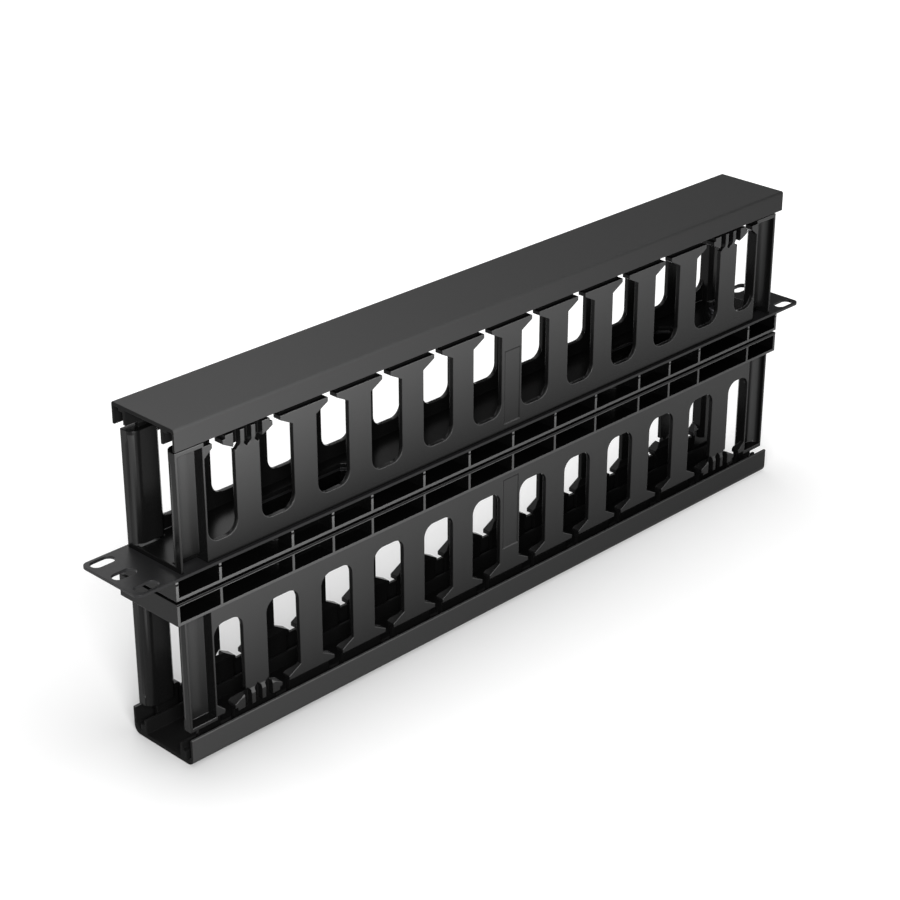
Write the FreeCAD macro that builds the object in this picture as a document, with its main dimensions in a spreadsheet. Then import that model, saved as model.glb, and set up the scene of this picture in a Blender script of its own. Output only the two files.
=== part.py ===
import FreeCAD, Part
import math
import os
import Sketcher

Vector = FreeCAD.Vector
doc = FreeCAD.newDocument("CableManager")

# The row frame stands the manager on its rear cover: X runs along the 19 inch width,
# Y across the rack unit and Z from the rear of the rack to its front.

driving_sizes = {
    # steel rack plate
    "plate_length": 482.6,
    "plate_width": 41.9,
    "plate_thick": 1.5,
    "plate_corner": 3.5,
    "ear_hole_spread": 465.1,
    "ear_hole_pitch": 15.875,
    "ear_slot_length": 12.8,
    "ear_slot_width": 6.6,
    # clip-on covers
    "cover_length": 434.2,
    "cover_width": 43.94,
    "front_cover_height": 11.1,
    "front_web": 2.0,
    "front_edge_round": 1.3,
    "rear_cover_height": 14.4,
    "rear_web": 2.4,
    "rear_edge_round": 4.2,
    "lip_thick": 1.5,
    "rib_thick": 1.6,
    "rib_height": 7.5,
    "lip_gap": 4.1,
    "tip_clearance": 0.3,
    # finger ducts
    "duct_length": 430.4,
    "duct_width": 38.4,
    "wall_height": 58.0,
    "wall_thick": 2.5,
    "floor_thick": 2.4,
    "tip_thick": 2.4,
    "tip_step": 2.4,
    "tip_length": 11.5,
    "head_thick": 3.0,
    "finger_width": 14.4,
    "slot_pitch": 34.8,
    "slot_base": 9.3,
    "slot_round": 6.5,
    "end_slot_width": 17.6,
    "neck_width": 5.5,
    "shoulder_rise": 4.0,
    "head_edge": 2.1,
    "tip_setback": 1.5,
    # end fingers
    "bulge_depth": 5.5,
    "bulge_round": 5.0,
    "bulge_chamfer": 2.0,
    "trough_depth": 6.0,
    "trough_round": 4.0,
    "trough_side": 0.9,
    "end_flange": 1.3,
    "rim_height": 2.0,
    "tip_inset": 6.5,
    "window_height": 3.2,
    # claws on the second finger from each end
    "claw_bulge": 0.9,
    "claw_ramp": 2.6,
    "claw_length": 8.4,
    "claw_overrun": 1.8,
    "notch_width": 4.2,
    "notch_pitch": 6.5,
    "notch_length": 7.6,
    "notch_point": 2.1,
    # bare label recess on the middle finger
    "label_left": 5.2,
    "label_edge": 1.0,
    "label_low": 3.7,
    "label_height": 40.2,
    "label_depth": 0.4,
    # cable passages between the two ducts
    "passage_offset": 121.0,
    "passage_length": 68.0,
    "passage_width": 19.0,
    "passage_chamfer": 5.0,
    "collar_thick": 2.0,
    # ribbed base frames
    "frame_length": 440.4,
    "front_frame_height": 9.9,
    "rear_frame_height": 11.4,
    "groove_height": 1.5,
    "land_inset": 3.5,
    "flange_thick": 1.5,
    "end_wall": 1.6,
    "spine_thick": 1.8,
    "frame_rib": 1.5,
    "centre_rib_step": 31.9,
    "passage_rib_start": 99.1,
    "passage_rib_step": 25.6,
    "outer_rib": 194.3,
    # through screws and nuts
    "screw_spread": 380.0,
    "screw_radius": 2.0,
    "screw_play": 0.25,
    "head_across": 7.0,
    "screw_head_height": 2.5,
    "screw_overrun": 1.0,
    "boss_width": 9.2,
    "nut_across": 7.0,
    "nut_height": 3.2,
}

# Places worked out from the driving sizes, as formulas of the second sheet.
derived_places = {
    # stack along Z, from the floor up
    "rear_duct_z": "rear_cover_height + lip_gap + wall_height",
    "front_frame_z": "rear_duct_z + rear_frame_height + groove_height",
    "plate_z": "front_frame_z + front_frame_height",
    "front_duct_z": "plate_z + plate_thick",
    "front_top_z": "front_duct_z + wall_height + lip_gap + front_cover_height",
    # plate and frame outlines
    "plate_x": "plate_length / 2",
    "plate_y": "plate_width / 2",
    "ear_x_in": "(ear_hole_spread - ear_slot_length) / 2",
    "ear_x_out": "(ear_hole_spread + ear_slot_length) / 2",
    "ear_round": "ear_slot_width / 2",
    "ear_low": "ear_hole_pitch - ear_round",
    "ear_high": "ear_hole_pitch + ear_round",
    # duct section
    "duct_x": "duct_length / 2",
    "wall_out": "duct_width / 2",
    "wall_in": "wall_out - wall_thick",
    "tip_out": "wall_out - tip_step",
    "tip_in": "tip_out - tip_thick",
    "tip_top": "wall_height + tip_length",
    "head_low": "wall_height - head_thick",
    "head_root": "head_low - (wall_in - tip_in)",
    # finger slots
    "neck_low": "wall_height - head_edge",
    "shoulder_low": "neck_low - shoulder_rise",
    "slot_half": "(slot_pitch - finger_width) / 2",
    "neck_half": "neck_width / 2",
    "tip_gap_half": "neck_half + tip_setback",
    "slot_centre": "slot_pitch * 4.5",
    "slot_left": "slot_centre - slot_half",
    "slot_right": "slot_centre + slot_half",
    "neck_left": "slot_centre - neck_half",
    "neck_right": "slot_centre + neck_half",
    "tip_gap_left": "slot_centre - tip_gap_half",
    "tip_gap_right": "slot_centre + tip_gap_half",
    "cut_top": "tip_top + wall_thick",
    "last_finger": "slot_pitch * 5",
    "end_slot_in": "last_finger + finger_width / 2",
    "end_slot_out": "end_slot_in + end_slot_width",
    "end_neck_in": "end_slot_in + slot_half - neck_half",
    "end_neck_out": "end_neck_in + neck_width",
    "end_gap_in": "end_neck_in - tip_setback",
    "end_gap_out": "end_neck_out + tip_setback",
    # end fingers
    "bulge_in": "wall_in - bulge_depth",
    "bulge_cut_x": "end_slot_out + bulge_chamfer",
    "bulge_cut_y": "bulge_in + bulge_chamfer",
    "trough_in": "wall_out - trough_depth",
    "trough_x_in": "end_slot_out + trough_side",
    "trough_x_out": "duct_x - end_flange",
    "cut_out": "wall_out + claw_bulge + wall_thick",
    "rim_top": "wall_height + rim_height",
    "tip_end": "duct_x - tip_inset",
    "tip_cut_x": "duct_x + tip_inset",
    # claws
    "claw_low": "wall_height + claw_overrun - claw_length",
    "claw_full": "claw_low + claw_ramp",
    "claw_top": "wall_height + claw_overrun",
    "claw_out": "wall_out + claw_bulge",
    "claw_width": "finger_width + (slot_half - neck_half) * 2",
    "notch_low": "claw_top - notch_length",
    "notch_tip": "notch_low - notch_point",
    "notch_top": "claw_top + notch_point",
    "notch_reach": "wall_thick + claw_bulge + claw_ramp",
    # label recess
    "label_right": "finger_width / 2 - label_edge",
    "label_high": "label_low + label_height",
    "label_floor": "wall_out - label_depth",
    # covers
    "cover_y": "cover_width / 2",
    "lip_in": "cover_y - lip_thick",
    "rib_out": "tip_in - tip_clearance",
    "rib_in": "rib_out - rib_thick",
    "seat_y": "tip_out + tip_clearance",
    "front_seat": "front_cover_height + lip_gap - tip_length - tip_clearance",
    "rear_seat": "rear_cover_height + lip_gap - tip_length - tip_clearance",
    "front_rib_end": "front_web + rib_height",
    "rear_rib_end": "rear_web + rib_height",
    "front_fill": "front_web + front_edge_round * 0.3",
    "rear_fill": "rear_web + rear_edge_round * 0.6",
    "front_fill_y": "lip_in - front_edge_round * 0.3",
    "rear_fill_y": "lip_in - rear_edge_round * 0.6",
    # frames and passages
    "frame_x": "frame_length / 2",
    "frame_x_in": "frame_x - end_wall",
    "land_x": "frame_x - land_inset",
    "land_y": "plate_y - land_inset",
    "passage_x_in": "passage_offset - passage_length / 2",
    "passage_x_out": "passage_offset + passage_length / 2",
    "passage_y": "passage_width / 2",
    "passage_cut_in": "passage_x_in + passage_chamfer",
    "passage_cut_out": "passage_x_out - passage_chamfer",
    "passage_cut_y": "passage_y - passage_chamfer",
    "collar_x_in": "passage_x_in - collar_thick",
    "collar_x_out": "passage_x_out + collar_thick",
    "collar_y": "passage_y + collar_thick",
    "collar_cut_in": "passage_cut_in - collar_thick * tan(22.5)",
    "collar_cut_out": "passage_cut_out + collar_thick * tan(22.5)",
    "collar_cut_y": "passage_cut_y + collar_thick * tan(22.5)",
    "spine_y": "spine_thick / 2",
    "rear_flange_z": "rear_frame_height - flange_thick",
    # screws
    "screw_x": "screw_spread / 2",
    "boss_y": "boss_width / 2",
    "screw_hole": "screw_radius + screw_play",
    "boss_x_in": "screw_x - boss_y",
    "boss_x_out": "screw_x + boss_y",
    "screw_top": "front_duct_z + floor_thick",
    "head_corner": "head_across / 2 / cos(30)",
    "nut_face": "rear_duct_z - floor_thick",
    "nut_low": "nut_face - nut_height",
    "screw_end": "nut_low - screw_overrun",
    "screw_length": "screw_top - screw_end",
    "nut_corner": "nut_across / 2 / cos(30)",
}


def make_sheet(label, cells):
    sheet = doc.addObject("Spreadsheet::Sheet", label)
    for row, (alias, content) in enumerate(cells.items(), start=1):
        sheet.set("A%d" % row, alias)
        sheet.set("B%d" % row, content)
        sheet.setAlias("B%d" % row, alias)
    doc.recompute()
    return sheet


def with_sheet_names(formula):
    # A formula names the driving sheet before each driving size that it reads.
    words = formula.replace("(", "( ").replace(")", " )").split()
    named = ["Sizes." + word if word in driving_sizes else word for word in words]
    return "=" + " ".join(named)


sizes = make_sheet("Sizes", {name: str(size) for name, size in driving_sizes.items()})
places = make_sheet("Places", {name: with_sheet_names(text) for name, text in derived_places.items()})


def cell(name):
    if name.startswith("-"):
        return "-" + cell(name[1:])
    return ("Sizes." if name in driving_sizes else "Places.") + name


def number(name):
    if name.startswith("-"):
        return -number(name[1:])
    if name == "0":
        return 0.0
    return float((sizes if name in driving_sizes else places).get(name))


def flip(name, side):
    # The same place on the other side of the middle.
    if side > 0 or name == "0":
        return name
    return name[1:] if name.startswith("-") else "-" + name


def bind(target, prop, name):
    target.setExpression(prop, cell(name))


def add_bound(sketch, kind, *where):
    *references, name = where
    row = sketch.addConstraint(Sketcher.Constraint(kind, *references, number(name)))
    sketch.setExpression("Constraints[%d]" % row, cell(name))


def hold_x(sketch, line, name):
    if name == "0":
        sketch.addConstraint(Sketcher.Constraint("PointOnObject", line, 1, -2))
    else:
        add_bound(sketch, "DistanceX", -1, 1, line, 1, name)


def hold_y(sketch, line, name):
    if name == "0":
        sketch.addConstraint(Sketcher.Constraint("PointOnObject", line, 1, -1))
    else:
        add_bound(sketch, "DistanceY", -1, 1, line, 1, name)


def add_outline(sketch, corners):
    # A closed outline through named corners; a third name rounds the corner.
    points = [Vector(number(corner[0]), number(corner[1]), 0) for corner in corners]
    rounds = [corner[2] if len(corner) > 2 else None for corner in corners]
    count = len(points)
    arrive, leave, arcs = list(points), list(points), {}
    for i in range(count):
        if not rounds[i]:
            continue
        radius = number(rounds[i])
        back = (points[i - 1] - points[i]).normalize()
        ahead = (points[(i + 1) % count] - points[i]).normalize()
        half = math.acos(back.dot(ahead)) / 2
        arrive[i] = points[i] + back * (radius / math.tan(half))
        leave[i] = points[i] + ahead * (radius / math.tan(half))
        centre = points[i] + (back + ahead).normalize() * (radius / math.sin(half))
        turns_left = ahead.cross(back).z > 0
        first, last = (arrive[i], leave[i]) if turns_left else (leave[i], arrive[i])
        start = math.atan2(first.y - centre.y, first.x - centre.x)
        stop = math.atan2(last.y - centre.y, last.x - centre.x)
        circle = Part.Circle(centre, Vector(0, 0, 1), radius)
        arcs[i] = (sketch.addGeometry(Part.ArcOfCircle(circle, start, stop)), turns_left)
    lines = []
    for i in range(count):
        segment = Part.LineSegment(leave[i], arrive[(i + 1) % count])
        lines.append(sketch.addGeometry(segment))
    for i in range(count):
        if i in arcs:
            arc, turns_left = arcs[i]
            into, out = (1, 2) if turns_left else (2, 1)
            sketch.addConstraint(Sketcher.Constraint("Tangent", lines[i - 1], 2, arc, into))
            sketch.addConstraint(Sketcher.Constraint("Tangent", arc, out, lines[i], 1))
            add_bound(sketch, "Radius", arc, rounds[i])
        else:
            sketch.addConstraint(Sketcher.Constraint("Coincident", lines[i - 1], 2, lines[i], 1))
            hold_x(sketch, lines[i], corners[i][0])
            hold_y(sketch, lines[i], corners[i][1])
        after = (i + 1) % count
        if i not in arcs and after not in arcs:
            continue
        upright = abs(points[i].x - points[after].x) < abs(points[i].y - points[after].y)
        sketch.addConstraint(Sketcher.Constraint("Vertical" if upright else "Horizontal", lines[i]))
        if i in arcs and after in arcs:
            (hold_x if upright else hold_y)(sketch, lines[i], corners[i][0 if upright else 1])


def add_circle(sketch, x_name, y_name, radius_name):
    centre = Vector(number(x_name), number(y_name), 0)
    ring = sketch.addGeometry(Part.Circle(centre, Vector(0, 0, 1), number(radius_name)))
    add_bound(sketch, "DistanceX", -1, 1, ring, 3, x_name)
    if y_name == "0":
        sketch.addConstraint(Sketcher.Constraint("PointOnObject", ring, 3, -1))
    else:
        add_bound(sketch, "DistanceY", -1, 1, ring, 3, y_name)
    add_bound(sketch, "Radius", ring, radius_name)


def rectangle(x_low, x_high, y_low, y_high, round_name=None):
    corners = [(x_low, y_low), (x_high, y_low), (x_high, y_high), (x_low, y_high)]
    return [corner + (round_name,) for corner in corners] if round_name else corners


def make_body(label):
    body = doc.addObject("PartDesign::Body", label)
    body.Label = label
    return body


def make_sketch(body, name, plane, height_name=None):
    sketch = body.newObject("Sketcher::SketchObject", body.Name + "_" + name)
    support = next(item for item in body.Origin.OriginFeatures if item.Role == plane)
    sketch.AttachmentSupport = (support, [""])
    sketch.MapMode = "FlatFace"
    if height_name:
        sketch.setExpression("AttachmentOffset.Base.z", cell(height_name))
    return sketch


def pad(body, sketch, length_name, both_ways=False, downwards=False):
    feature = body.newObject("PartDesign::Pad", sketch.Name + "_pad")
    feature.Profile = sketch
    bind(feature, "Length", length_name)
    feature.SideType = "Symmetric" if both_ways else "One side"
    feature.Reversed = downwards
    sketch.Visibility = False
    doc.recompute()
    return feature


def pocket(body, sketch, length_name=None, upwards=False, both_ways=False):
    # Every cut has to take something away.
    before = body.Shape.Volume
    feature = body.newObject("PartDesign::Pocket", sketch.Name + "_cut")
    feature.Profile = sketch
    if length_name:
        bind(feature, "Length", length_name)
    else:
        feature.Type = "ThroughAll"
    feature.SideType = "Symmetric" if both_ways else "One side"
    feature.Reversed = upwards
    sketch.Visibility = False
    doc.recompute()
    if not feature.Shape.Volume < before:
        raise RuntimeError(feature.Name + " cuts nothing")
    return feature


def axis_of(body, role):
    return next(item for item in body.Origin.OriginFeatures if item.Role == role)


def round_edges(body, name, radius_name, wanted):
    # Rounds the edges whose middle the test picks.
    base = body.Tip
    names = []
    for index, edge in enumerate(base.Shape.Edges, start=1):
        middle = edge.valueAt((edge.FirstParameter + edge.LastParameter) / 2)
        if wanted(edge, middle):
            names.append("Edge%d" % index)
    feature = body.newObject("PartDesign::Fillet", body.Name + "_" + name)
    feature.Base = (base, names)
    bind(feature, "Radius", radius_name)
    doc.recompute()
    return feature


def near(first, second):
    return abs(first - second) < 0.01


def make_cover(label, web, seat, rib_end, fill, fill_y, edge_round, height):
    # A shallow channel with two long inner ribs, its outer face at Z = 0 and its lips hanging down.
    body = make_body(label)
    section = make_sketch(body, "section", "YZ_Plane")
    half = [
        ("cover_y", "0"),
        ("cover_y", "-" + height),
        ("lip_in", "-" + height),
        ("lip_in", "-" + fill),
        (fill_y, "-" + web),
        ("seat_y", "-" + web),
        ("seat_y", "-" + seat),
        ("rib_out", "-" + seat),
        ("rib_out", "-" + rib_end),
        ("rib_in", "-" + rib_end),
        ("rib_in", "-" + web),
    ]
    other = [(flip(y_name, -1), z_name) for y_name, z_name in reversed(half)]
    add_outline(section, half + other)
    pad(body, section, "cover_length", both_ways=True)
    lengthwise = number("cover_length") * 0.9
    round_edges(body, "edges", edge_round,
                lambda edge, middle: edge.Length > lengthwise and near(middle.z, 0))
    return body


def duct_section():
    # Floor, two walls with thick heads, and the narrower tips that enter the cover.
    half = [
        ("wall_out", "0"),
        ("wall_out", "wall_height"),
        ("tip_out", "wall_height"),
        ("tip_out", "tip_top"),
        ("tip_in", "tip_top"),
        ("tip_in", "head_low"),
        ("wall_in", "head_root"),
        ("wall_in", "floor_thick"),
    ]
    return half + [(flip(y_name, -1), z_name) for y_name, z_name in reversed(half)]


def slot_outline(left, right, neck_left, neck_right, gap_left, gap_right):
    # A round-bottomed slot whose shoulders close it to a narrow neck between two heads.
    return [
        (left, "slot_base", "slot_round"),
        (right, "slot_base", "slot_round"),
        (right, "shoulder_low"),
        (neck_right, "neck_low"),
        (neck_right, "wall_height"),
        (gap_right, "wall_height"),
        (gap_right, "cut_top"),
        (gap_left, "cut_top"),
        (gap_left, "wall_height"),
        (neck_left, "wall_height"),
        (neck_left, "neck_low"),
        (left, "shoulder_low"),
    ]


def claw_outline(side):
    return [
        (flip("wall_in", side), "claw_low"),
        (flip("wall_out", side), "claw_low"),
        (flip("claw_out", side), "claw_full"),
        (flip("claw_out", side), "claw_top"),
        (flip("tip_out", side), "claw_top"),
        (flip("tip_out", side), "head_low"),
        (flip("wall_in", side), "head_low"),
    ]


def add_claws(body):
    # The heads of the second fingers from each end bulge out and are cut into four teeth.
    for side in (1, -1):
        for wall in (1, -1):
            tag = "claw_%s%s" % ("r" if side > 0 else "l", "b" if wall > 0 else "f")
            section = make_sketch(body, tag, "YZ_Plane", flip("last_finger", side))
            add_outline(section, claw_outline(wall))
            pad(body, section, "claw_width", both_ways=True)


def cut_notches(body):
    for wall in (1, -1):
        tag = "notches_" + ("back" if wall > 0 else "front")
        sketch = make_sketch(body, tag, "XZ_Plane", flip("wall_in", -wall))
        for side in (1, -1):
            for step in (-1, 0, 1):
                add_notch(sketch, side, step)
        pocket(body, sketch, "notch_reach", upwards=wall < 0)


def add_notch(sketch, side, step):
    # One notch with a pointed foot, a whole number of steps from the middle of its finger.
    middle = side * number("last_finger") + step * number("notch_pitch")
    half = number("notch_width") / 2
    heights = [("notch_top", -half), ("notch_low", -half), ("notch_tip", 0.0),
               ("notch_low", half), ("notch_top", half)]
    points = [Vector(middle + offset, number(name), 0) for name, offset in heights]
    count = len(points)
    lines = [sketch.addGeometry(Part.LineSegment(points[i], points[(i + 1) % count]))
             for i in range(count)]
    sign = "" if side > 0 else "-"
    for i, (name, offset) in enumerate(heights):
        sketch.addConstraint(Sketcher.Constraint("Coincident", lines[i - 1], 2, lines[i], 1))
        hold_y(sketch, lines[i], name)
        share = 0 if offset == 0 else math.copysign(0.5, offset)
        row = sketch.addConstraint(Sketcher.Constraint("DistanceX", -1, 1, lines[i], 1, points[i].x))
        sketch.setExpression("Constraints[%d]" % row, "%s%s + %d * %s + %s * %s" % (
            sign, cell("last_finger"), step, cell("notch_pitch"), share, cell("notch_width")))


def cut_slots(body):
    slot = make_sketch(body, "slot", "XZ_Plane")
    add_outline(slot, slot_outline("slot_left", "slot_right", "neck_left", "neck_right",
                                   "tip_gap_left", "tip_gap_right"))
    cut = pocket(body, slot, both_ways=True)
    row = body.newObject("PartDesign::LinearPattern", body.Name + "_slot_row")
    row.Originals = [cut]
    row.Direction = (axis_of(body, "X_Axis"), [""])
    row.Reversed = True
    row.setExpression("Length", "9 * " + cell("slot_pitch"))
    row.Occurrences = 10
    body.Tip = row
    doc.recompute()
    for side in (1, -1):
        sketch = make_sketch(body, "end_slot_" + ("right" if side > 0 else "left"), "XZ_Plane")
        names = ["end_slot_in", "end_slot_out", "end_neck_in", "end_neck_out", "end_gap_in", "end_gap_out"]
        near_far = [flip(name, side) for name in names]
        if side < 0:
            near_far = [near_far[i] for i in (1, 0, 3, 2, 5, 4)]
        add_outline(sketch, slot_outline(*near_far))
        pocket(body, sketch, both_ways=True)


def add_end_fingers(body):
    # Each end finger bulges inwards as a bend guide, with a trough behind the bulge.
    bulges = make_sketch(body, "bulges", "XY_Plane")
    rims = make_sketch(body, "rims", "XY_Plane", "wall_height")
    for side in (1, -1):
        for wall in (1, -1):
            inner = [
                (flip("end_slot_out", side), flip("wall_in", wall)),
                (flip("end_slot_out", side), flip("bulge_cut_y", wall)),
                (flip("bulge_cut_x", side), flip("bulge_in", wall)),
                (flip("duct_x", side), flip("bulge_in", wall), "bulge_round"),
                (flip("duct_x", side), flip("wall_in", wall)),
            ]
            add_outline(bulges, inner)
            add_outline(rims, rectangle(flip("end_slot_out", side), flip("duct_x", side),
                                        flip("tip_in", wall), flip("wall_out", wall)))
    pad(body, bulges, "rim_top")
    pad(body, rims, "rim_height")


def cut_end_tips(body):
    # The tips that enter the cover stop short of both ends.
    ends = make_sketch(body, "tip_ends", "XY_Plane", "rim_top")
    for side in (1, -1):
        add_outline(ends, rectangle(flip("tip_end", side), flip("tip_cut_x", side), "-wall_out", "wall_out"))
    pocket(body, ends, "tip_length", upwards=True)


def cut_troughs(body):
    troughs = make_sketch(body, "troughs", "XY_Plane")
    windows = make_sketch(body, "windows", "XY_Plane")
    for side in (1, -1):
        for wall in (1, -1):
            add_outline(troughs, [
                (flip("trough_x_in", side), flip("cut_out", wall)),
                (flip("trough_x_in", side), flip("trough_in", wall)),
                (flip("trough_x_out", side), flip("trough_in", wall), "trough_round"),
                (flip("trough_x_out", side), flip("cut_out", wall)),
            ])
            add_outline(windows, rectangle(flip("trough_x_in", side), flip("trough_x_out", side),
                                           flip("bulge_in", wall), flip("cut_out", wall)))
    pocket(body, troughs, "wall_height", upwards=True)
    pocket(body, windows, "window_height", upwards=True)


def cut_floor(body):
    openings = make_sketch(body, "openings", "XY_Plane")
    add_passages(openings)
    add_screw_holes(openings)
    pocket(body, openings, "floor_thick", upwards=True)


def add_passages(sketch, kind="passage"):
    # Rectangles with chamfered corners; kind is passage for the hole or collar for its wall.
    edge_y, cut_y = kind + "_y", kind + "_cut_y"
    for side in (1, -1):
        x_in, x_out = flip(kind + "_x_in", side), flip(kind + "_x_out", side)
        cut_in, cut_out = flip(kind + "_cut_in", side), flip(kind + "_cut_out", side)
        add_outline(sketch, [
            (x_in, "-" + cut_y), (cut_in, "-" + edge_y), (cut_out, "-" + edge_y), (x_out, "-" + cut_y),
            (x_out, cut_y), (cut_out, edge_y), (cut_in, edge_y), (x_in, cut_y),
        ])


def add_screw_holes(sketch):
    for side in (1, -1):
        add_circle(sketch, flip("screw_x", side), "0", "screw_hole")


def cut_label(body, side):
    # A bare, shallow recess on the outside of the middle finger.
    sketch = make_sketch(body, "label", "XZ_Plane", "label_floor")
    add_outline(sketch, rectangle(flip("-label_left", side), flip("label_right", side),
                                  "label_low", "label_high"))
    pocket(body, sketch, "label_depth", upwards=True)


def make_duct(label, label_side):
    # The duct stands on Z = 0 with its fingers upwards.
    body = make_body(label)
    section = make_sketch(body, "section", "YZ_Plane")
    add_outline(section, duct_section())
    pad(body, section, "duct_length", both_ways=True)
    add_claws(body)
    add_end_fingers(body)
    cut_end_tips(body)
    cut_slots(body)
    cut_troughs(body)
    cut_notches(body)
    cut_floor(body)
    cut_label(body, label_side)
    return body


def make_plate():
    body = make_body("rack_plate")
    outline = make_sketch(body, "outline", "XY_Plane")
    add_outline(outline, rectangle("-plate_x", "plate_x", "-plate_y", "plate_y", "plate_corner"))
    pad(body, outline, "plate_thick")
    holes = make_sketch(body, "holes", "XY_Plane")
    for side in (1, -1):
        low, high = flip("ear_x_in", side), flip("ear_x_out", side)
        add_ear_slot(holes, low, high, "ear_low", "ear_high")
        add_ear_slot(holes, low, high, "-ear_round", "ear_round")
        add_ear_slot(holes, low, high, "-ear_high", "-ear_low")
    add_passages(holes)
    add_screw_holes(holes)
    pocket(body, holes, "plate_thick", upwards=True)
    return body


def add_ear_slot(sketch, x_low, x_high, y_low, y_high):
    # A full-round slot: two straight sides and two half circles.
    radius = number("ear_round")
    sign = 1 if number(x_high) > number(x_low) else -1
    left, right = sorted((number(x_low), number(x_high)))
    left_name, right_name = (x_low, x_high) if sign > 0 else (x_high, x_low)
    bottom, top = number(y_low), number(y_high)
    middle = (bottom + top) / 2
    up = Vector(0, 0, 1)
    low_line = sketch.addGeometry(Part.LineSegment(Vector(left + radius, bottom, 0),
                                                   Vector(right - radius, bottom, 0)))
    high_line = sketch.addGeometry(Part.LineSegment(Vector(right - radius, top, 0),
                                                    Vector(left + radius, top, 0)))
    right_circle = Part.Circle(Vector(right - radius, middle, 0), up, radius)
    left_circle = Part.Circle(Vector(left + radius, middle, 0), up, radius)
    right_arc = sketch.addGeometry(Part.ArcOfCircle(right_circle, -math.pi / 2, math.pi / 2))
    left_arc = sketch.addGeometry(Part.ArcOfCircle(left_circle, math.pi / 2, math.pi * 1.5))
    for first, first_end, second, second_end in (
            (low_line, 2, right_arc, 1), (right_arc, 2, high_line, 1),
            (high_line, 2, left_arc, 1), (left_arc, 2, low_line, 1)):
        sketch.addConstraint(Sketcher.Constraint("Tangent", first, first_end, second, second_end))
    sketch.addConstraint(Sketcher.Constraint("Horizontal", low_line))
    hold_y(sketch, low_line, y_low)
    add_bound(sketch, "Radius", right_arc, "ear_round")
    for arc, name, way in ((left_arc, left_name, "+"), (right_arc, right_name, "-")):
        place = number(name) + (radius if way == "+" else -radius)
        row = sketch.addConstraint(Sketcher.Constraint("DistanceX", -1, 1, arc, 3, place))
        sketch.setExpression("Constraints[%d]" % row, "%s %s %s" % (cell(name), way, cell("ear_round")))


def add_frame_ribs(sketch):
    # Rectangles for the cross ribs, given as a name, a start and a whole number of steps.
    half = number("frame_rib") / 2
    spots = [("", 0, "centre_rib_step", step) for step in (-2, -1, 0, 1, 2)]
    for side in (1, -1):
        spots += [("passage_rib_start", side, "passage_rib_step", step) for step in (0, 1, 2)]
        spots += [("outer_rib", side, "centre_rib_step", 0)]
    for start, side, step_name, step in spots:
        base = side * number(start) if start else 0.0
        way = side if side else 1
        middle = base + way * step * number(step_name)
        low, high = Vector(middle - half, -number("plate_y"), 0), Vector(middle + half, number("plate_y"), 0)
        ring = [low, Vector(high.x, low.y, 0), high, Vector(low.x, high.y, 0)]
        lines = [sketch.addGeometry(Part.LineSegment(ring[i], ring[(i + 1) % 4])) for i in range(4)]
        for i in range(4):
            sketch.addConstraint(Sketcher.Constraint("Coincident", lines[i - 1], 2, lines[i], 1))
            hold_y(sketch, lines[i], "-plate_y" if i in (0, 1) else "plate_y")
            row = sketch.addConstraint(Sketcher.Constraint("DistanceX", -1, 1, lines[i], 1, ring[i].x))
            edge = -0.5 if i in (0, 3) else 0.5
            formula = "%d * %s + %s * %s" % (way * step, cell(step_name), edge, cell("frame_rib"))
            if start:
                formula = ("" if side > 0 else "-") + cell(start) + " + " + formula
            sketch.setExpression("Constraints[%d]" % row, formula)


def make_frame(label, height_name, closed_top):
    # A ribbed spacer: flange, cross ribs, end walls, centre spine, passage collars and screw bosses.
    body = make_body(label)
    flange = make_sketch(body, "flange", "XY_Plane")
    add_outline(flange, rectangle("-frame_x", "frame_x", "-plate_y", "plate_y"))
    pad(body, flange, "flange_thick")
    ribs = make_sketch(body, "ribs", "XY_Plane")
    add_frame_ribs(ribs)
    pad(body, ribs, height_name)
    ends = make_sketch(body, "ends", "XY_Plane")
    add_outline(ends, rectangle("frame_x_in", "frame_x", "-plate_y", "plate_y"))
    add_outline(ends, rectangle("-frame_x", "-frame_x_in", "-plate_y", "plate_y"))
    pad(body, ends, height_name)
    spine = make_sketch(body, "spine", "XY_Plane")
    add_outline(spine, rectangle("-frame_x", "frame_x", "-spine_y", "spine_y"))
    pad(body, spine, height_name)
    collars = make_sketch(body, "collars", "XY_Plane")
    add_passages(collars, "collar")
    pad(body, collars, height_name)
    bosses = make_sketch(body, "bosses", "XY_Plane")
    for side in (1, -1):
        add_outline(bosses, rectangle(flip("boss_x_in", side), flip("boss_x_out", side), "-boss_y", "boss_y"))
    pad(body, bosses, height_name)
    if closed_top:
        top = make_sketch(body, "top", "XY_Plane", "rear_flange_z")
        add_outline(top, rectangle("-frame_x", "frame_x", "-plate_y", "plate_y"))
        pad(body, top, "flange_thick")
    else:
        land = make_sketch(body, "land", "XY_Plane")
        add_outline(land, rectangle("-land_x", "land_x", "-land_y", "land_y"))
        pad(body, land, "groove_height", downwards=True)
    openings = make_sketch(body, "openings", "XY_Plane")
    add_passages(openings)
    add_screw_holes(openings)
    pocket(body, openings, both_ways=True)
    return body


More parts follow.
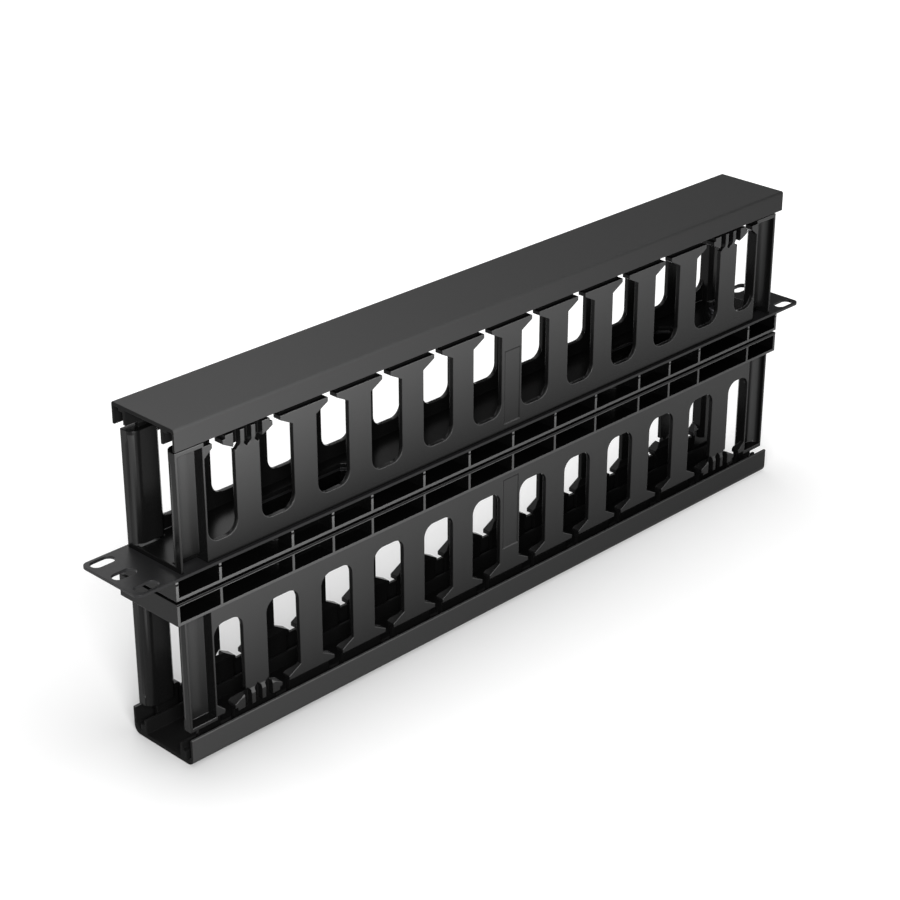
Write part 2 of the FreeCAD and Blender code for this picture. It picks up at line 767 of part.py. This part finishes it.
def make_screws():
    # Hexagon-head screws through both ducts, the plate and both frames.
    screws = []
    for index, x_name in enumerate(("-screw_x", "screw_x"), start=1):
        shank = doc.addObject("Part::Cylinder", "screw_shank_%d" % index)
        bind(shank, "Radius", "screw_radius")
        bind(shank, "Height", "screw_length")
        bind(shank, "Placement.Base.x", x_name)
        bind(shank, "Placement.Base.z", "screw_end")
        head = doc.addObject("Part::Prism", "screw_head_%d" % index)
        head.Polygon = 6
        bind(head, "Circumradius", "head_corner")
        bind(head, "Height", "screw_head_height")
        bind(head, "Placement.Base.x", x_name)
        bind(head, "Placement.Base.z", "screw_top")
        screw = doc.addObject("Part::MultiFuse", "screw_%d" % index)
        screw.Shapes = [shank, head]
        screws.append(screw)
    group = doc.addObject("Part::Compound", "through_screws")
    group.Links = screws
    return group


def make_nuts():
    nuts = []
    for index, x_name in enumerate(("-screw_x", "screw_x"), start=1):
        block = doc.addObject("Part::Prism", "nut_block_%d" % index)
        block.Polygon = 6
        bind(block, "Circumradius", "nut_corner")
        bind(block, "Height", "nut_height")
        bind(block, "Placement.Base.x", x_name)
        bind(block, "Placement.Base.z", "nut_low")
        bore = doc.addObject("Part::Cylinder", "nut_bore_%d" % index)
        bind(bore, "Radius", "screw_radius")
        bind(bore, "Height", "nut_height")
        bind(bore, "Placement.Base.x", x_name)
        bind(bore, "Placement.Base.z", "nut_low")
        nut = doc.addObject("Part::Cut", "nut_%d" % index)
        nut.Base = block
        nut.Tool = bore
        nuts.append(nut)
    group = doc.addObject("Part::Compound", "screw_nuts")
    group.Links = nuts
    return group


def place(body, z_name, turned=None):
    # A turned piece is rolled half round the X or the Y axis before it is lifted.
    if turned:
        body.Placement = FreeCAD.Placement(Vector(0, 0, 0), FreeCAD.Rotation(turned, 180))
    if z_name:
        bind(body, "Placement.Base.z", z_name)


front_cover = make_cover("front_cover", "front_web", "front_seat", "front_rib_end", "front_fill",
                         "front_fill_y", "front_edge_round", "front_cover_height")
place(front_cover, "front_top_z")
rear_cover = make_cover("rear_cover", "rear_web", "rear_seat", "rear_rib_end", "rear_fill",
                        "rear_fill_y", "rear_edge_round", "rear_cover_height")
place(rear_cover, None, Vector(1, 0, 0))
front_duct = make_duct("front_duct", 1)
place(front_duct, "front_duct_z")
rear_duct = make_duct("rear_duct", -1)
place(rear_duct, "rear_duct_z", Vector(0, 1, 0))
rack_plate = make_plate()
place(rack_plate, "plate_z")
front_frame = make_frame("front_base_frame", "front_frame_height", closed_top=False)
place(front_frame, "front_frame_z")
rear_frame = make_frame("rear_base_frame", "rear_frame_height", closed_top=True)
place(rear_frame, "rear_duct_z")
through_screws = make_screws()
screw_nuts = make_nuts()
doc.recompute()

nodes = [front_cover, rear_cover, front_duct, rear_duct, rack_plate, front_frame, rear_frame,
         through_screws, screw_nuts]

for item in doc.Objects:
    if "Invalid" in item.State or "Error" in item.State:
        raise RuntimeError("%s failed: %s" % (item.Name, item.State))

os.makedirs("parts", exist_ok=True)
for node in nodes:
    shape = node.Shape
    if shape.isNull() or not shape.isValid():
        raise RuntimeError(node.Label + " has no valid shape")
    box = shape.BoundBox
    print("%-18s solids %d volume %.0f box %.2f %.2f %.2f / %.2f %.2f %.2f" % (
        node.Label, len(shape.Solids), shape.Volume,
        box.XMin, box.YMin, box.ZMin, box.XMax, box.YMax, box.ZMax))
    shape.exportStep("parts/%s.step" % node.Label)
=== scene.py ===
import math
import bpy
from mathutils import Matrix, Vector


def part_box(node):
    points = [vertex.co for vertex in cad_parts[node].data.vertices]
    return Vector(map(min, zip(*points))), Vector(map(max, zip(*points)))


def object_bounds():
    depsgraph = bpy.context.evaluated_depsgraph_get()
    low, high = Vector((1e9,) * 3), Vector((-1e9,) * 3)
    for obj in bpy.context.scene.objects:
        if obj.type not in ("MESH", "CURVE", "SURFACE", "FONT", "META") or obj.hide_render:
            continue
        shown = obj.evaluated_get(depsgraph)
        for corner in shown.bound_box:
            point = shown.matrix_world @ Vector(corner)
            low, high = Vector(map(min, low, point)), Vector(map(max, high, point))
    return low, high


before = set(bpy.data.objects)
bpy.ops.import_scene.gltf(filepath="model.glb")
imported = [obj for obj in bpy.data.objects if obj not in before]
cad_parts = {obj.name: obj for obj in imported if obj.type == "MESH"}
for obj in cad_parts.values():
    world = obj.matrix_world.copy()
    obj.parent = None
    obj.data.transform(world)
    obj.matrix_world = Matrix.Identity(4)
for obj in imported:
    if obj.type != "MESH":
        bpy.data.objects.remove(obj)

scene = bpy.context.scene
cadLow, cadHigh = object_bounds()
print("stage: frame loaded")


# the camera stands where the photograph was taken from, worked out from the rack sizes
cameraSettings = {
    "place": (-0.7523, -0.7177, 0.5884),   # metres
    "yaw": 44.61,                          # degrees from +X towards +Y
    "pitch": 25.98,                        # degrees below the horizon
    "lens": 89.26,                         # millimetres on a 36 mm sensor
}


def addCamera(settings):
    data = bpy.data.cameras.new("photoCamera")
    data.sensor_width = 36.0
    data.lens = settings["lens"]
    camera = bpy.data.objects.new("photoCamera", data)
    camera.location = settings["place"]
    camera.rotation_euler = (math.radians(90 - settings["pitch"]), 0, math.radians(settings["yaw"] - 90))
    scene.collection.objects.link(camera)
    scene.camera = camera
    return camera


# shader maths: one class wraps a socket, so that materials read as plain expressions
class Sock:
    def __init__(self, tree, socket):
        self.tree = tree
        self.socket = socket

    def math(self, operation, other=None, first=None):
        node = self.tree.nodes.new("ShaderNodeMath")
        node.operation = operation
        for place, value in enumerate((self if first is None else first, other if first is None else self)):
            if isinstance(value, Sock):
                self.tree.links.new(value.socket, node.inputs[place])
            elif value is not None:
                node.inputs[place].default_value = value
        return Sock(self.tree, node.outputs[0])

    def __add__(self, other): return self.math("ADD", other)
    def __radd__(self, other): return self.math("ADD", other)
    def __sub__(self, other): return self.math("SUBTRACT", other)
    def __rsub__(self, other): return self.math("SUBTRACT", first=other)
    def __mul__(self, other): return self.math("MULTIPLY", other)
    def __rmul__(self, other): return self.math("MULTIPLY", other)
    def __truediv__(self, other): return self.math("DIVIDE", other)
    def __pow__(self, other): return self.math("POWER", other)


class Graph:
    # a node tree of a material or the world, with short ways to add nodes to it
    def __init__(self, owner, shader):
        owner.use_nodes = True
        self.owner = owner
        self.tree = owner.node_tree
        self.shader = self.tree.nodes[shader]

    def node(self, kind, settings=None, out=0, **inputs):
        made = self.tree.nodes.new(kind)
        for key, value in (settings or {}).items():
            setattr(made, key, value)
        for key, value in inputs.items():
            self.feed(made.inputs[key.replace("_", " ")], value)
        return Sock(self.tree, made.outputs[out])

    def feed(self, socket, value):
        if isinstance(value, Sock):
            self.tree.links.new(value.socket, socket)
        else:
            socket.default_value = value

    def parts(self, vector):
        # the three numbers of a vector
        split = self.node("ShaderNodeSeparateXYZ", Vector=vector)
        return [Sock(self.tree, output) for output in split.socket.node.outputs]

    def set(self, **inputs):
        for key, value in inputs.items():
            self.feed(self.shader.inputs[key.replace("_", " ")], value)


def newFinish(name):
    return Graph(bpy.data.materials.new(name), "Principled BSDF")


# moulded plastic: a fine spark-eroded grain, a gloss that changes slowly over the surface, softly
# rounded edges, and outer faces lighter than the black inside: an even tone on the covers, and painted
# light on the frames and ducts, lighter towards the top of each piece
coverPlastic = {
    "blackTone": 0.006,
    "footToneAndLight": 0.044,         # lighter tone of outer faces at the piece's foot, painted light on frames and ducts
    "topToneAndLight": 0.044,        # and at its top
    "edgeHighlightTone": 0.0,        # painted highlight added along upper edges
    "outerFace": 0.0205,      # metres to either side, just inside the outer faces
    "outerEnd": 0.0864,       # metres above and below the object's middle, likewise
    "trough": None,           # where faces further in get the lighter tone too
    "topFaces": 1.0,          # whether faces that look up or down get the lighter tone too
    "shadeBands": (),          # height and half width of strips of painted shade, left without the lighter tone
    "label": None,            # the label recess's painted shade lines
    "edgeRadius": 0.0004,
    "roughness": 0.55,
    "specular": 0.05,
    "grainScale": 1400.0,     # cells per metre
    "grainDepth": 0.00002,    # metres
    "grainStrength": 0.25,
    "mottleScale": 18.0,
    "mottle": 0.05,
}
rearCoverPlastic = dict(coverPlastic, footToneAndLight=0.03, topToneAndLight=0.03, edgeHighlightTone=0.05)
# the glossier plastic of the frames and ducts, painted lighter towards the top of each piece: painted light
framePlastic = dict(coverPlastic, roughness=0.25, specular=0.13, grainStrength=0.1, edgeRadius=0.0005,
                    blackTone=0.002, footToneAndLight=0.07, topToneAndLight=0.13, edgeHighlightTone=0.05, outerFace=0.0176,
                    outerEnd=1.0,         # nowhere
                    topFaces=0.0, shadeBands=((0.0879, 0.001), (0.0978, 0.0005)))
# the end fingers' troughs lie deeper than the walls' inner faces
endTrough = {"fromX": 0.19, "fromY": 0.012, "lowest": 0.0185, "highest": 0.1588}
ductPlastic = dict(framePlastic, specular=0.12, edgeRadius=0.0007, blackTone=0.004, footToneAndLight=0.0,
                   edgeHighlightTone=0.09, shadeBands=(), trough=endTrough)
# painted shade: a dark line along the label recess's left and upper edges, which keeps a quarter of the
# lighter tone
labelShadeLine = {"left": -0.0052, "right": 0.0062, "width": 0.0009, "keep": 0.25}
frontDuctPlastic = dict(ductPlastic, topToneAndLight=0.07, label=dict(labelShadeLine, low=0.1045, high=0.1447))
rearDuctPlastic = dict(ductPlastic, topToneAndLight=0.038, label=dict(labelShadeLine, low=0.0326, high=0.0728))


def within(value, low, high):
    # 1 where the value lies between low and high
    return value.math("GREATER_THAN", low) * value.math("LESS_THAN", high)


def labelPaintedShade(x, y, z, label):
    # 1 on the strips of painted shade along the left and upper edges of the label recess, which is on the -Y
    # wall
    left, high, width = label["left"], label["high"], label["width"]
    beside = within(x, left, left + width) * within(z, label["low"], high)
    above = within(z, high - width, high) * within(x, left, label["right"])
    return (beside + above).math("MINIMUM", 1.0) * y.math("LESS_THAN", 0.0)


def makePlastic(name, settings, node):
    finish = newFinish(name)
    place = finish.node("ShaderNodeTexCoord", out=3)
    grain = finish.node("ShaderNodeTexNoise", Vector=place, Scale=settings["grainScale"], Detail=2.0)
    slow = finish.node("ShaderNodeTexNoise", Vector=place, Scale=settings["mottleScale"], Detail=3.0)
    rounded = finish.node("ShaderNodeBevel", {"samples": 6}, Radius=settings["edgeRadius"])
    bump = finish.node("ShaderNodeBump", Height=grain, Strength=settings["grainStrength"],
                       Distance=settings["grainDepth"], Normal=rounded)
    x, y, z = finish.parts(place)
    facing = finish.parts(rounded)
    low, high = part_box(node)
    # the lighter tone of the outer faces; on the frames and ducts it is painted light that grows towards the
    # top of the piece
    toneAndPaintedLight = finish.node("ShaderNodeMapRange", Value=z, From_Min=low[2], From_Max=high[2],
                        To_Min=settings["footToneAndLight"], To_Max=settings["topToneAndLight"])
    # strips of painted shade are left black
    for middle, half in settings["shadeBands"]:
        toneAndPaintedLight = toneAndPaintedLight * (z - middle).math("ABSOLUTE").math("GREATER_THAN", half)
    # painted shade along the label recess's edges
    label = settings["label"]
    if label:
        toneAndPaintedLight = toneAndPaintedLight * (1.0 - labelPaintedShade(x, y, z, label) * (1.0 - label["keep"]))
    # the tone goes in full only on faces looking out along Y, and on faces looking up or down where the
    # setting allows it
    outward = (facing[1] * y.math("SIGN")).math("MAXIMUM", 0.0)
    toneAndPaintedLight = toneAndPaintedLight * (outward * outward + facing[2] * facing[2] * settings["topFaces"])
    # painted highlight along upper edges, where faces turn from looking up to looking out
    paintedHighlight = facing[2].math("MAXIMUM", 0.0) * facing[1].math("ABSOLUTE") * 2.0 * settings["edgeHighlightTone"]
    atSide = y.math("ABSOLUTE").math("GREATER_THAN", settings["outerFace"])
    atEnd = (z - (cadLow[2] + cadHigh[2]) / 2).math("ABSOLUTE").math("GREATER_THAN", settings["outerEnd"])
    outside = atSide.math("MAXIMUM", atEnd)
    trough = settings["trough"]
    if trough:
        nearEnd = x.math("ABSOLUTE").math("GREATER_THAN", trough["fromX"])
        farOut = y.math("ABSOLUTE").math("GREATER_THAN", trough["fromY"])
        inTrough = within(z, trough["lowest"], trough["highest"]) * nearEnd * farOut
        outside = outside.math("MAXIMUM", inTrough)
    finish.set(Base_Color=settings["blackTone"] + outside * (toneAndPaintedLight + paintedHighlight),
               Specular_IOR_Level=settings["specular"],
               Roughness=settings["roughness"] + (slow - 0.5) * settings["mottle"], Normal=bump)
    return finish.owner


# powder coat on the steel plate: a soft orange peel
plateCoat = {
    "colour": (0.01, 0.01, 0.0105, 1),
    "roughness": 0.42,
    "specular": 0.2,
    "peelScale": 700.0,
    "peelDepth": 0.00004,
    "peelStrength": 0.35,
    "mottle": 0.12,           # how much the gloss changes with the peel
}


def makePowderCoat(name, settings):
    finish = newFinish(name)
    place = finish.node("ShaderNodeTexCoord", out=3)
    peel = finish.node("ShaderNodeTexNoise", Vector=place, Scale=settings["peelScale"], Detail=1.5)
    bump = finish.node("ShaderNodeBump", Height=peel, Strength=settings["peelStrength"],
                       Distance=settings["peelDepth"])
    finish.set(Base_Color=settings["colour"], Specular_IOR_Level=settings["specular"],
               Roughness=settings["roughness"] + (peel - 0.5) * settings["mottle"], Normal=bump)
    return finish.owner


# blackened screws and nuts
screwSteel = {
    "colour": (0.055, 0.055, 0.06, 1),
    "roughness": 0.38,
    "stainScale": 400.0,
    "stain": 0.2,
}


def makeBlackSteel(name, settings):
    finish = newFinish(name)
    place = finish.node("ShaderNodeTexCoord", out=3)
    stain = finish.node("ShaderNodeTexNoise", Vector=place, Scale=settings["stainScale"], Detail=4.0)
    finish.set(Base_Color=settings["colour"], Metallic=1.0,
               Roughness=settings["roughness"] + (stain - 0.5) * settings["stain"])
    return finish.owner


def dress(node, material):
    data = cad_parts[node].data
    data.materials.clear()
    data.materials.append(material)


# every moulded or punched edge is a little broken: the mesh is joined up, its flat faces are
# made whole, and what stays as an edge gets a narrow round
edgeSettings = {
    "join": 0.00001,
    "flatWithin": 0.6,        # degrees
    "sharpFrom": 38.0,        # degrees between two faces
    "segments": 2,
}
edgeWidths = {
    "front_cover": 0.0004, "rear_cover": 0.0004, "front_duct": 0.0003, "rear_duct": 0.0003,
    "rack_plate": 0.0003, "front_base_frame": 0.0003, "rear_base_frame": 0.0003,
    "through_screws": 0.0003, "screw_nuts": 0.0003,
}


def breakEdges(node, width, settings):
    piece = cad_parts[node]
    join = piece.modifiers.new("join", "WELD")
    join.merge_threshold = settings["join"]
    whole = piece.modifiers.new("wholeFaces", "DECIMATE")
    whole.decimate_type = "DISSOLVE"
    whole.angle_limit = math.radians(settings["flatWithin"])
    edge = piece.modifiers.new("edgeRound", "BEVEL")
    edge.limit_method = "ANGLE"
    edge.angle_limit = math.radians(settings["sharpFrom"])
    edge.width = width
    edge.segments = settings["segments"]


floorSettings = {
    "halfSize": 3.0,          # metres
    "colour": (0.6, 0.6, 0.6, 1),
    "farGlow": 1.0,           # what camera and mirror rays see on top of the lit floor, far away
    "paintedShadeReach": 0.7,             # metres from the object to where the far glow starts; nearer in the glow is lower, painted shade round the object's foot
    "rise": 0.5,              # below 1 the glow rises fastest beside the object
    "paintedLightFrom": -0.18,        # the near glow grows towards +X from here: painted light on the right
    "paintedLightGrowth": 1.1,        # per metre
    "paintedLightMost": 0.5,
    "roughness": 0.9,
    "specular": 0.1,
}
worldSettings = {
    "sky": 0.08,              # how much the world lights the object
    "mirrorSky": 0.1,         # what mirror rays see above the white sweep
    "sweepTop": 0.2,          # sine of the height at which the sweep has gone dark
}
lights = {
    "nearKey": {"place": (-0.5, -0.46, 0.34), "size": 0.25, "power": 6.2},
    "backLeft": {"place": (0.1, 0.8, 0.65), "size": 1.0, "power": 4.5},
    "top": {"place": (0.0, 0.0, 1.4), "size": 1.2, "power": 8.5},
}
lightTarget = (0, 0, 0.1)


def addLight(name, settings):
    data = bpy.data.lights.new(name, "AREA")
    data.shape = "SQUARE"
    data.size = settings["size"]
    data.energy = settings["power"]
    light = bpy.data.objects.new(name, data)
    light.location = settings["place"]
    away = [goal - start for goal, start in zip(lightTarget, settings["place"])]
    flat = math.hypot(away[0], away[1])
    turn = math.atan2(away[1], away[0]) - math.pi / 2 if flat else 0.0
    light.rotation_euler = (math.atan2(flat, -away[2]), 0, turn)
    light.visible_camera = False
    scene.collection.objects.link(light)
    return light


def seenDirectly(graph):
    # 1 for rays from the camera, mirror rays and rays through glass
    ways = [graph.node("ShaderNodeLightPath", out="Is %s Ray" % kind)
            for kind in ("Camera", "Glossy", "Transmission")]
    return (ways[0] + ways[1] + ways[2]).math("MINIMUM", 1.0)


def makeWorld(settings):
    world = bpy.data.worlds.new("studio")
    studio = Graph(world, "Background")
    mirror = studio.node("ShaderNodeLightPath", out="Is Glossy Ray")
    direct = seenDirectly(studio)
    direction = studio.node("ShaderNodeTexCoord", out="Generated")
    height = studio.node("ShaderNodeSeparateXYZ", out="Z", Vector=direction)
    sweep = studio.node("ShaderNodeMapRange", {"interpolation_type": "SMOOTHSTEP"}, Value=height,
                        From_Min=0.0, From_Max=settings["sweepTop"], To_Min=1.0, To_Max=settings["mirrorSky"])
    level = settings["sky"] + direct * (1.0 - settings["sky"]) + mirror * (sweep - 1.0)
    studio.set(Color=(1, 1, 1, 1), Strength=level)
    scene.world = world


def makeFloor(settings):
    size = settings["halfSize"]
    corners = [(-size, -size, 0), (size, -size, 0), (size, size, 0), (-size, size, 0)]
    mesh = bpy.data.meshes.new("floor")
    mesh.from_pydata(corners, [], [(0, 1, 2, 3)])
    floor = bpy.data.objects.new("floor", mesh)
    scene.collection.objects.link(floor)
    finish = newFinish("paleFloor")
    place = finish.node("ShaderNodeTexCoord", out="Object")
    # the distance from the cover that the object stands on
    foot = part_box("rear_cover")[1]
    x, y, _ = finish.parts(place)
    # painted shade: the glow is lower near the object's foot and rises with the distance from it
    outside = [(side.math("ABSOLUTE") - half).math("MAXIMUM", 0.0) for side, half in zip((x, y), foot)]
    distance = (outside[0] * outside[0] + outside[1] * outside[1]) ** 0.5
    share = (distance / settings["paintedShadeReach"]).math("MINIMUM", 1.0) ** settings["rise"]
    # painted light: the glow beside the object grows towards +X
    toRight = x - settings["paintedLightFrom"]
    near = (toRight * settings["paintedLightGrowth"]).math("MAXIMUM", 0.0).math("MINIMUM", settings["paintedLightMost"])
    glow = seenDirectly(finish) * (near + share * (settings["farGlow"] - near))
    finish.set(Base_Color=settings["colour"], Roughness=settings["roughness"],
               Specular_IOR_Level=settings["specular"], Emission_Color=glow, Emission_Strength=1.0)
    mesh.materials.append(finish.owner)
    return floor


addCamera(cameraSettings)
coverFinish = makePlastic("coverPlastic", coverPlastic, "front_cover")
rearCoverFinish = makePlastic("rearCoverPlastic", rearCoverPlastic, "rear_cover")
frameFinish = makePlastic("framePlastic", framePlastic, "front_base_frame")
frontDuctFinish = makePlastic("frontDuctPlastic", frontDuctPlastic, "front_duct")
rearDuctFinish = makePlastic("rearDuctPlastic", rearDuctPlastic, "rear_duct")
plateFinish = makePowderCoat("platePowderCoat", plateCoat)
screwFinish = makeBlackSteel("blackSteel", screwSteel)
finishes = {
    "front_cover": coverFinish, "rear_cover": rearCoverFinish,
    "front_duct": frontDuctFinish, "rear_duct": rearDuctFinish,
    "front_base_frame": frameFinish, "rear_base_frame": frameFinish,
    "rack_plate": plateFinish,
    "through_screws": screwFinish, "screw_nuts": screwFinish,
}
for node, finish in finishes.items():
    dress(node, finish)
    breakEdges(node, edgeWidths[node], edgeSettings)
print("stage: dressed")

makeWorld(worldSettings)
for name, settings in lights.items():
    addLight(name, settings)
makeFloor(floorSettings)
scene.view_settings.view_transform = "Standard"
print("stage: lit")
